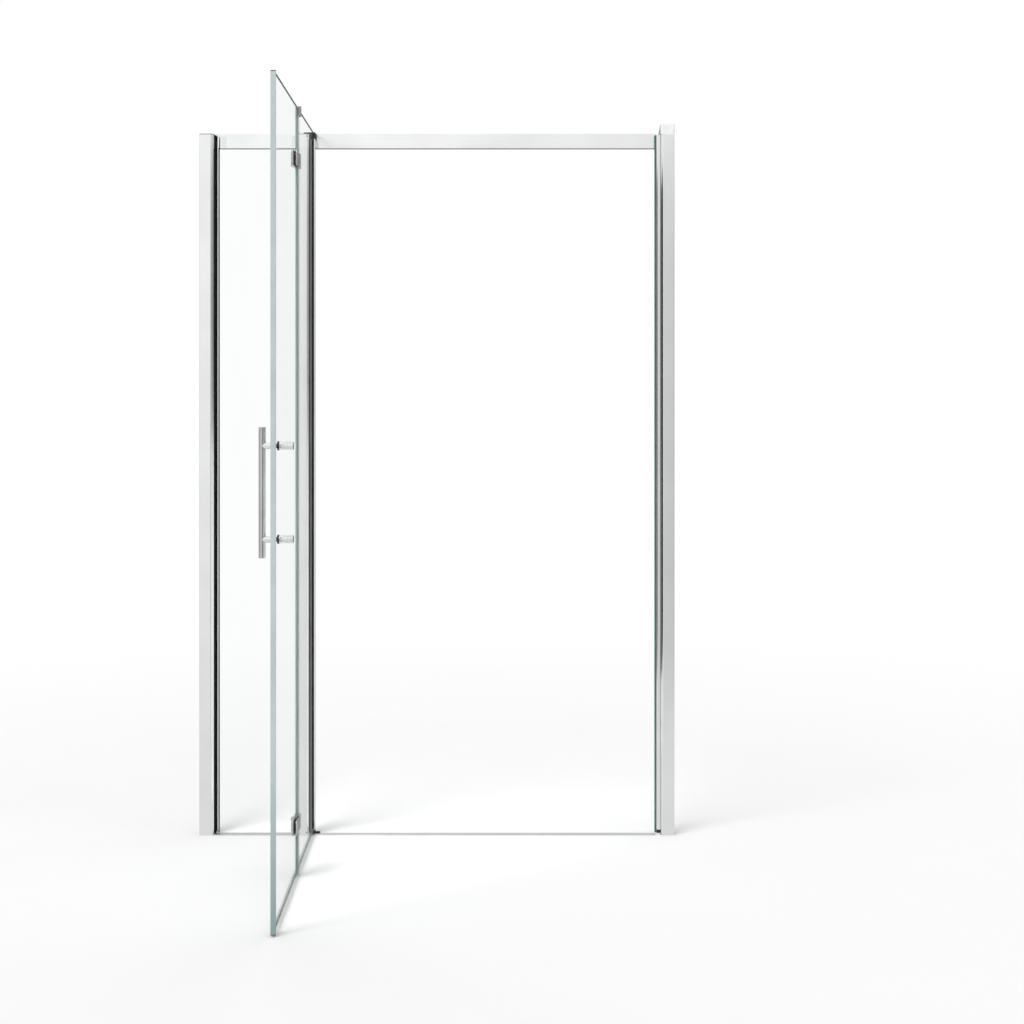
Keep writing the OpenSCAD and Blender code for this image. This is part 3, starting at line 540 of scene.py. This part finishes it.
class SHOWER_OT_moulded_pieces(bpy.types.Operator):
    """Caps, brackets, pivot blocks and threshold pieces with rounded edges"""
    bl_idname = "shower_door.moulded_pieces"
    bl_label = "Moulded pieces"

    def execute(self, context):
        width = context.scene.shower_door_sizes.edge_round
        for node in MOULDED_NODES:
            place_rounded(node, width)
        self.tall_cap()
        return {"FINISHED"}

    def tall_cap(self):
        """Cap whose broad faces get a brighter metal, a painted highlight, while its rims and slanted side get a
        darker one, a painted shade
        """
        shape = joined("profile_cap_right")
        round_edges(shape, TALL_CAP_ROUND)
        bmesh.ops.recalc_face_normals(shape, faces=shape.faces)
        for face in shape.faces:
            broad = max(abs(face.normal.y), face.normal.z) > BROAD_FACE
            face.material_index = 0 if broad else 1
        mesh = finish_mesh(shape, "profile_cap_right", SMOOTH_ROUNDED)
        place_piece("rounded_profile_cap_right", mesh, "profile_cap_right",
            finishes=("chrome", "chrome painted shade"))


class SHOWER_OT_fold_hinges(bpy.types.Operator):
    """Hinge plates and knuckles with rounded rims"""
    bl_idname = "shower_door.fold_hinges"
    bl_label = "Fold hinges"

    def execute(self, context):
        width = context.scene.shower_door_sizes.edge_round
        for node in HINGE_NODES:
            place_rounded(node, width, 3)
        return {"FINISHED"}


# Glass
PANES = ("fixed_pane", "inner_leaf_glass", "outer_leaf_glass")
GASKET_END = 20 * MM
CORNER_ANGLE = radians(60)
# Least part of a face's normal along x, z and y that makes it an end, a level edge or a broad face
END_FACE = 0.5
LEVEL_FACE = 0.6
PANE_FACE = 0.9
# Shortest edge that gets a chamfer, in chamfer widths, so that the rims of the holes get none
LEAST_CHAMFERED = 30


class SHOWER_OT_panes(bpy.types.Operator):
    """Three panes with chamfered green edges and polished holes"""
    bl_idname = "shower_door.panes"
    bl_label = "Glass panes"

    def execute(self, context):
        chamfer = context.scene.shower_door_sizes.glass_chamfer
        for node in PANES:
            shape = joined(node)
            wide = [face for face in shape.faces if len(face.verts) > 4]
            bmesh.ops.triangulate(shape, faces=wide)
            long_edges = [edge for edge in shape.edges if len(edge.link_faces) == 2
                and edge.calc_face_angle(0) > CORNER_ANGLE
                and edge.calc_length() > chamfer * LEAST_CHAMFERED]
            bmesh.ops.bevel(shape, geom=long_edges, offset=chamfer, segments=1, profile=0.5,
                affect="EDGES", clamp_overlap=True)
            bmesh.ops.recalc_face_normals(shape, faces=shape.faces)
            self.mark_edges(shape, held=BODY_OF[node] == "frame")
            place_piece("chamfered_" + node, finish_mesh(shape, node, SMOOTH_GLASS), node,
                finishes=("glass", "upright edge", "level edge painted shade"))
        return {"FINISHED"}

    def mark_edges(self, shape, held):
        """Makes the free edges green, the level ones a darker green that is a painted shade; the edges that a
        gasket or the frame holds stay clear
        """
        to_leaf = STILL if held else WORLD_TO_LEAF
        for face in shape.faces:
            normal = to_leaf.to_3x3() @ face.normal
            place = to_leaf @ face.calc_center_median()
            in_gasket = abs(normal.x) > END_FACE and place.x < GASKET_END
            level = abs(normal.z) > LEVEL_FACE
            if abs(normal.y) > PANE_FACE or in_gasket or (held and level):
                face.material_index = 0
            else:
                face.material_index = 2 if level else 1


# Handle
def skin(rings):
    """Closed solid over a stack of rings that all have the same number of points"""
    shape = bmesh.new()
    rows = [[shape.verts.new(point) for point in ring] for ring in rings]
    for low, high in zip(rows, rows[1:]):
        for i in range(len(low)):
            j = (i + 1) % len(low)
            shape.faces.new((low[i], low[j], high[j], high[i]))
    shape.faces.new(list(reversed(rows[0])))
    shape.faces.new(rows[-1])
    return shape


def ring_angles(steps):
    return [tau * i / steps for i in range(steps)]


def turned(profile, steps=48):
    """Closed solid of revolution about Z from radius and height pairs, from bottom to top"""
    return skin([[(radius * cos(a), radius * sin(a), height) for a in ring_angles(steps)]
        for radius, height in profile])


def rounded_end(radius, height, inward, round_r, steps=5):
    """Profile points of a rounded rim at a height, the solid lying towards inward"""
    turns = [pi / 2 * i / steps for i in range(steps + 1)]
    return [(radius - round_r + round_r * sin(turn), height + inward * round_r * (1 - cos(turn)))
        for turn in turns]


def grooved(low, high, radius, round_r, grooves, depth):
    """Profile of a turned bar with rounded ends and narrow grooves at the given heights"""
    width = 2 * depth
    profile = rounded_end(radius, low, 1, round_r)
    for height in grooves:
        profile += [(radius, height - width), (radius - depth, height - width / 2),
            (radius - depth, height + width / 2), (radius, height + width)]
    return profile + list(reversed(rounded_end(radius, high, -1, round_r)))


def merge_shapes(shapes):
    """One shape from several, each moved by its own matrix"""
    whole = bmesh.new()
    for shape, place in shapes:
        bmesh.ops.transform(shape, matrix=place, verts=shape.verts)
        mesh = bpy.data.meshes.new("part")
        shape.to_mesh(mesh)
        shape.free()
        whole.from_mesh(mesh)
        bpy.data.meshes.remove(mesh)
    return whole


ALONG_Y = Matrix.Rotation(-pi / 2, 4, "X")
END_ROUND = 1.2 * MM
BAR_RING_INSET = 7 * MM
KNOB_RINGS = (0.62, 0.8)


class SHOWER_OT_handle(bpy.types.Operator):
    """Handle bar with rounded ends, standoffs, collars and grooved inner knobs"""
    bl_idname = "shower_door.handle"
    bl_label = "Handle"

    def execute(self, context):
        sizes = context.scene.shower_door_sizes
        self.turn_bar(sizes.bar_groove)
        self.turn_knobs(sizes.bar_groove)
        for node in ("handle_standoffs", "handle_collars"):
            place_rounded(node, sizes.edge_round, 3)
        return {"FINISHED"}

    def turn_bar(self, depth):
        low, high = solid_boxes("handle_bar", WORLD_TO_LEAF)[0]
        middle = (low + high) / 2
        reach = high.z - middle.z
        ring = reach - BAR_RING_INSET
        profile = grooved(-reach, reach, (high.x - low.x) / 2, END_ROUND, (-ring, ring), depth)
        whole = merge_shapes([(turned(profile), LEAF_TO_WORLD @ Matrix.Translation(middle))])
        place_piece("turned_handle_bar", finish_mesh(whole, "handle_bar"), "handle_bar")

    def turn_knobs(self, depth):
        shapes = []
        knobs = solid_boxes("handle_knobs", WORLD_TO_LEAF)
        studs = solid_boxes("handle_studs", WORLD_TO_LEAF)
        for (low, high), (stud_low, stud_high) in zip(knobs, studs):
            length = high.y - low.y
            bore_r = (stud_high.z - stud_low.z) / 2
            bore = [(bore_r, stud_high.y - low.y), (bore_r, 0.0)]
            rings = [share * length for share in KNOB_RINGS]
            profile = bore + grooved(0.0, length, (high.z - low.z) / 2, END_ROUND, rings, depth)
            middle = (low + high) / 2
            foot = Matrix.Translation((middle.x, low.y, middle.z))
            shapes.append((turned(profile), LEAF_TO_WORLD @ foot @ ALONG_Y))
        mesh = finish_mesh(merge_shapes(shapes), "handle_knobs")
        place_piece("turned_handle_knobs", mesh, "handle_knobs")


# Screws: the side that the head points to along Y, its depth, and the shank's share of its width
SCREWS = {
    "profile_lock_screws": (1, 2.5 * MM, 4 / 8),
    "rail_screws": (1, 2.5 * MM, 4 / 8),
    "pivot_block_screws": (-1, 1.5 * MM, 4 / 6),
    "inner_leaf_hinge_screws": (1, 2 * MM, 5 / 9),
    "outer_leaf_hinge_screws": (1, 2 * MM, 5 / 9),
}
SCREW_STEPS = 36
SOCKET_DEPTH = 0.75
SOCKET_FLOOR = 0.96
TIP_SHARE = 0.8
# Rounding of a head's rim, as a share of its radius and of its depth at most
RIM_OF_RADIUS = 0.25
RIM_OF_DEPTH = 0.4


def hexagon_radius(angle, across):
    """Distance from the middle of a hexagon to its side; across is the width over the corners"""
    return across / 2 * cos(pi / 6) / cos(angle % (pi / 3) - pi / 6)


def socket_screw(head_r, shank_r, head_depth, length, socket_share):
    """Screw along Z with its rounded head at the top, at height 0, and a hexagon socket in it"""
    angles = ring_angles(SCREW_STEPS)
    round_r = min(RIM_OF_RADIUS * head_r, RIM_OF_DEPTH * head_depth)
    rim = list(reversed(rounded_end(head_r, 0.0, -1, round_r, 4)))
    profile = [(shank_r * TIP_SHARE, -length), (shank_r, -length + (1 - TIP_SHARE) * shank_r),
        (shank_r, -head_depth), (head_r, -head_depth)] + rim
    rings = [[(radius * cos(a), radius * sin(a), height) for a in angles]
        for radius, height in profile]
    across = 2 * head_r * socket_share
    for height, share in ((0.0, 1.0), (-SOCKET_DEPTH * head_depth, SOCKET_FLOOR)):
        reaches = [share * hexagon_radius(a, across) for a in angles]
        rings.append([(reach * cos(a), reach * sin(a), height)
            for a, reach in zip(angles, reaches)])
    return finish_mesh(skin(rings), "screw")


def screw_row_tree():
    """Sets one screw on every point of a mesh, turned the same way, and gives it its finish"""
    tree = bpy.data.node_groups.new("Screw row", "GeometryNodeTree")
    for name, kind in (("Places", "NodeSocketGeometry"), ("Screw", "NodeSocketObject"),
            ("Turn", "NodeSocketRotation"), ("Finish", "NodeSocketMaterial")):
        tree.interface.new_socket(name, in_out="INPUT", socket_type=kind)
    tree.interface.new_socket("Screws", in_out="OUTPUT", socket_type="NodeSocketGeometry")
    given = tree.nodes.new("NodeGroupInput")
    made = tree.nodes.new("NodeGroupOutput")
    screw = tree.nodes.new("GeometryNodeObjectInfo")
    rows = tree.nodes.new("GeometryNodeInstanceOnPoints")
    real = tree.nodes.new("GeometryNodeRealizeInstances")
    finish = tree.nodes.new("GeometryNodeSetMaterial")
    links = (
        (given, "Screw", screw, "Object"),
        (given, "Places", rows, "Points"),
        (screw, "Geometry", rows, "Instance"),
        (given, "Turn", rows, "Rotation"),
        (rows, "Instances", real, "Geometry"),
        (real, "Geometry", finish, "Geometry"),
        (given, "Finish", finish, "Material"),
        (finish, "Geometry", made, "Screws"),
    )
    for source, name, target, socket in links:
        tree.links.new(source.outputs[name], target.inputs[socket])
    return tree


class SHOWER_OT_screws(bpy.types.Operator):
    """Socket screws of the uprights, rail, pivot blocks and hinges"""
    bl_idname = "shower_door.screws"
    bl_label = "Screws"

    def execute(self, context):
        tree = screw_row_tree()
        for node in SCREWS:
            self.set_row(context, tree, node)
        return {"FINISHED"}

    def set_row(self, context, tree, node):
        side, head_depth, shank_share = SCREWS[node]
        on_leaf = BODY_OF[node] != "frame"
        boxes = solid_boxes(node, WORLD_TO_LEAF if on_leaf else STILL)
        low, high = boxes[0]
        head_r = (high.x - low.x) / 2
        mesh = socket_screw(head_r, head_r * shank_share, head_depth, high.y - low.y,
            context.scene.shower_door_sizes.socket_share)
        screw = bpy.data.objects.new("screw", mesh)
        context.collection.objects.link(screw)
        heads = [((a.x + b.x) / 2, b.y if side > 0 else a.y, (a.z + b.z) / 2) for a, b in boxes]
        places = bpy.data.meshes.new(node)
        places.from_pydata(heads, [], [])
        row = bpy.data.objects.new(node, places)
        context.collection.objects.link(row)
        rows = row.modifiers.new("Screw row", "NODES")
        rows.node_group = tree
        sockets = {item.name: item.identifier for item in tree.interface.items_tree
            if item.in_out == "INPUT"}
        rows[sockets["Screw"]] = screw
        rows[sockets["Turn"]] = (-side * pi / 2, 0, 0)
        rows[sockets["Finish"]] = MADE[NODE_FINISH[node]]
        made = bpy.data.meshes.new_from_object(row.evaluated_get(context.evaluated_depsgraph_get()))
        if not made.polygons:
            raise RuntimeError(node + " has no screws")
        bpy.data.objects.remove(row)
        bpy.data.objects.remove(screw)
        made.transform(LEAF_TO_WORLD if on_leaf else STILL)
        place_piece("socket_" + node, made, node)


# Studio: what polished faces mirror, as the sine of an angle and a grey
HEIGHT_GREYS = ((-0.3, 0.78), (-0.2, 0.80), (-0.139, 0.86), (-0.052, 0.92), (0.0, 0.94),
    (0.06, 0.97), (0.139, 1.0), (0.3, 1.0))
ACROSS_GREYS = ((-1.0, 0.70), (-0.8, 0.80), (-0.5, 0.95), (-0.25, 1.0), (-0.19, 1.0), (-0.1, 0.92),
    (0.04, 0.70), (0.14, 0.50), (0.3, 0.40), (0.7, 0.34), (1.0, 0.26))
BACK_GREY = 0.55
# Where the mirrored studio changes: up its back, from front to back, at the floor and the ceiling
BACK_RISE = (0.12, 0.5)
BACK_START = (-0.1, 0.1)
FLOOR_LINE = (-0.2, -0.13)
CEILING_LINE = (0.128, 0.143)
FLOOR_HALF = 40.0
# Distances from the middle of the door between which the floor fades to white
FLOOR_FADE = (1.5, 4.0)
# Outline of the black flag as distances in front of the door plane and heights, at its place across
FLAG_X = 0.05
FLAG_OUTLINE = ((-1.9, 0.35), (-0.05, 0.35), (-0.05, 1.86), (-0.42, 1.93), (-0.9, 2.0),
    (-1.9, 2.02))
LAMP_WAY = (0.35, 0.55, -1.0)
LAMP_ANGLE = radians(28)
CAMERA_PLACE = (0.4395, -4.949, 1.221)
CAMERA_LENS = 62.35
CAMERA_SHIFT = (-0.0811, -0.1133)


class SHOWER_OT_studio(bpy.types.Operator):
    """Floor, light, background and camera"""
    bl_idname = "shower_door.studio"
    bl_label = "Studio"

    def execute(self, context):
        studio = context.scene.shower_door_studio
        add_floor()
        add_flag()
        light_world(context.scene, studio)
        add_sun(studio.key)
        add_camera(context.scene)
        context.scene.view_settings.view_transform = "Standard"
        return {"FINISHED"}


def flat_plate(name, corners, material):
    """One flat face of the studio"""
    mesh = bpy.data.meshes.new(name)
    mesh.from_pydata(corners, [], [tuple(range(len(corners)))])
    mesh.materials.append(material)
    plate = bpy.data.objects.new(name, mesh)
    bpy.context.collection.objects.link(plate)
    return plate


def add_floor():
    """Pale floor that keeps the shadow of the door and fades to white far from it"""
    sketch = MaterialSketch("Studio floor")
    sketch.set(Roughness=0.9, Specular_IOR_Level=0.0)
    sketch.mottle(sketch.noise((2, 2, 2), 2.0), (1, 1, 1), 0.965, 0.975)
    place = sketch.add("ShaderNodeTexCoord").outputs["Object"]
    reach = sketch.add("ShaderNodeVectorMath", {0: place}, operation="LENGTH")
    far = sketch.add("ShaderNodeMapRange", {
        "Value": reach.outputs["Value"], "From Min": FLOOR_FADE[0], "From Max": FLOOR_FADE[1]})
    path = sketch.add("ShaderNodeLightPath").outputs
    seen = sketch.math("MAXIMUM", path["Is Camera Ray"], path["Is Transmission Ray"])
    white = sketch.add("ShaderNodeEmission", {"Color": (1, 1, 1, 1), "Strength": 1.0})
    faded = sketch.math("MULTIPLY", far.outputs["Result"], seen)
    sketch.blend_over(faded, white.outputs["Emission"])
    corners = [(x * FLOOR_HALF, y * FLOOR_HALF, 0) for x, y in ((-1, -1), (1, -1), (1, 1), (-1, 1))]
    floor = flat_plate("Studio floor", corners, sketch.material)
    floor.visible_glossy = False


def add_flag():
    """Black studio flag beside the open leaves, which only polished faces mirror"""
    cloth = moulded_plastic("Black cloth", (0.03, 0.03, 0.03), 0.9, 0.0)
    flag = flat_plate("Studio flag", [(FLAG_X, y, z) for y, z in FLAG_OUTLINE], cloth)
    for ray in ("camera", "diffuse", "transmission", "volume_scatter", "shadow"):
        setattr(flag, "visible_" + ray, False)


class WorldSketch(Sketch):
    """Nodes of a new world"""

    def __init__(self, name):
        self.world = bpy.data.worlds.new(name)
        self.world.use_nodes = True
        super().__init__(self.world.node_tree)
        self.tree.nodes.clear()

    def step(self, value, low, high, before, after):
        """Soft step of a value, from one number below low to another above high"""
        return self.add("ShaderNodeMapRange", {"Value": value, "From Min": low, "From Max": high,
            "To Min": before, "To Max": after}, interpolation_type="SMOOTHSTEP").outputs["Result"]

    def ramp(self, value, table):
        """Grey from a table of values and greys"""
        low, high = table[0][0], table[-1][0]
        share = self.add("ShaderNodeMapRange", {"Value": value, "From Min": low, "From Max": high})
        ramp = self.add("ShaderNodeValToRGB", {"Fac": share.outputs["Result"]})
        marks = ramp.color_ramp.elements
        for place, grey in table[1:-1]:
            marks.new((place - low) / (high - low)).color = (grey, grey, grey, 1)
        for mark, grey in ((marks[0], table[0][1]), (marks[-1], table[-1][1])):
            mark.color = (grey, grey, grey, 1)
        return ramp.outputs["Color"]

    def mirrored(self, way):
        """Shaded studio that a polished face mirrors, from the direction of the ray"""
        back = self.step(way["Z"], *BACK_RISE, BACK_GREY, 1.0)
        behind = self.step(way["Y"], *BACK_START, 0.0, 1.0)
        above_floor = self.step(way["Z"], *FLOOR_LINE, 0.0, 1.0)
        below_ceiling = self.step(way["Z"], *CEILING_LINE, 1.0, 0.0)
        level = self.math("MULTIPLY", above_floor, below_ceiling)
        across = self.mix("FLOAT", level, 1.0, self.ramp(way["X"], ACROSS_GREYS))
        front = self.math("MULTIPLY", self.ramp(way["Z"], HEIGHT_GREYS), across)
        return self.mix("FLOAT", behind, front, self.math("MULTIPLY", back, across))


def light_world(scene, studio):
    """White where it is seen, a shaded studio where metal mirrors it, even light for the rest"""
    sketch = WorldSketch("Studio light")
    scene.world = sketch.world
    path = sketch.add("ShaderNodeLightPath").outputs
    generated = sketch.add("ShaderNodeTexCoord").outputs["Generated"]
    way = sketch.add("ShaderNodeSeparateXYZ", {0: generated}).outputs
    bounced = sketch.math("GREATER_THAN", path["Glossy Depth"], 0.5)
    through = path["Is Transmission Ray"]
    mirror_through = sketch.math("MULTIPLY", through, bounced)
    mirror_ray = sketch.math("MAXIMUM", path["Is Glossy Ray"], mirror_through)
    even = sketch.mix("FLOAT", mirror_ray, studio.ambient, sketch.mirrored(way))
    direct = sketch.math("SUBTRACT", 1.0, bounced)
    seen = sketch.math("MAXIMUM", path["Is Camera Ray"], sketch.math("MULTIPLY", through, direct))
    background = sketch.add("ShaderNodeBackground", {
        "Color": (1, 1, 1, 1), "Strength": sketch.mix("FLOAT", seen, even, 1.0)})
    output = sketch.add("ShaderNodeOutputWorld")
    sketch.tree.links.new(background.outputs["Background"], output.inputs["Surface"])


def add_sun(strength):
    light = bpy.data.lights.new("Key light", "SUN")
    light.energy = strength
    light.angle = LAMP_ANGLE
    lamp = bpy.data.objects.new("Key light", light)
    lamp.rotation_euler = Vector(LAMP_WAY).to_track_quat("-Z", "Y").to_euler()
    lamp.visible_glossy = False
    bpy.context.collection.objects.link(lamp)


def add_camera(scene):
    """Level camera in front of the door, right of its middle, as the photograph was taken"""
    data = bpy.data.cameras.new("Camera")
    data.sensor_width = 36.0
    data.lens = CAMERA_LENS
    data.shift_x, data.shift_y = CAMERA_SHIFT
    camera = bpy.data.objects.new("Camera", data)
    camera.location = CAMERA_PLACE
    camera.rotation_euler = (pi / 2, 0, 0)
    bpy.context.collection.objects.link(camera)
    scene.camera = camera


class SHOWER_PT_panel(bpy.types.Panel):
    """Lists the steps that build the shower door"""
    bl_idname = "SHOWER_PT_panel"
    bl_label = "Shower Door"
    bl_space_type = "VIEW_3D"
    bl_region_type = "UI"
    bl_category = "Shower Door"

    def draw(self, context):
        for group in (context.scene.shower_door_finish, context.scene.shower_door_sizes,
                context.scene.shower_door_studio):
            for name in group.__annotations__:
                self.layout.prop(group, name)
        for step in STEPS:
            self.layout.operator(step.bl_idname)


GROUPS = (DoorFinish, DoorSizes, DoorStudio)
STEPS = (SHOWER_OT_finishes, SHOWER_OT_drawn_profiles, SHOWER_OT_moulded_pieces,
    SHOWER_OT_fold_hinges, SHOWER_OT_panes, SHOWER_OT_handle, SHOWER_OT_screws, SHOWER_OT_studio)


def register():
    for kind in (*GROUPS, *STEPS, SHOWER_PT_panel):
        bpy.utils.register_class(kind)
    bpy.types.Scene.shower_door_finish = PointerProperty(type=DoorFinish)
    bpy.types.Scene.shower_door_sizes = PointerProperty(type=DoorSizes)
    bpy.types.Scene.shower_door_studio = PointerProperty(type=DoorStudio)


def unregister():
    del bpy.types.Scene.shower_door_finish
    del bpy.types.Scene.shower_door_sizes
    del bpy.types.Scene.shower_door_studio
    for kind in reversed((*GROUPS, *STEPS, SHOWER_PT_panel)):
        bpy.utils.unregister_class(kind)


def main():
    register()
    bpy.ops.shower_door.finishes()
    bpy.ops.shower_door.drawn_profiles()
    bpy.ops.shower_door.moulded_pieces()
    bpy.ops.shower_door.fold_hinges()
    bpy.ops.shower_door.panes()
    bpy.ops.shower_door.handle()
    bpy.ops.shower_door.screws()
    bpy.ops.shower_door.studio()


if __name__ == "__main__":
    main()
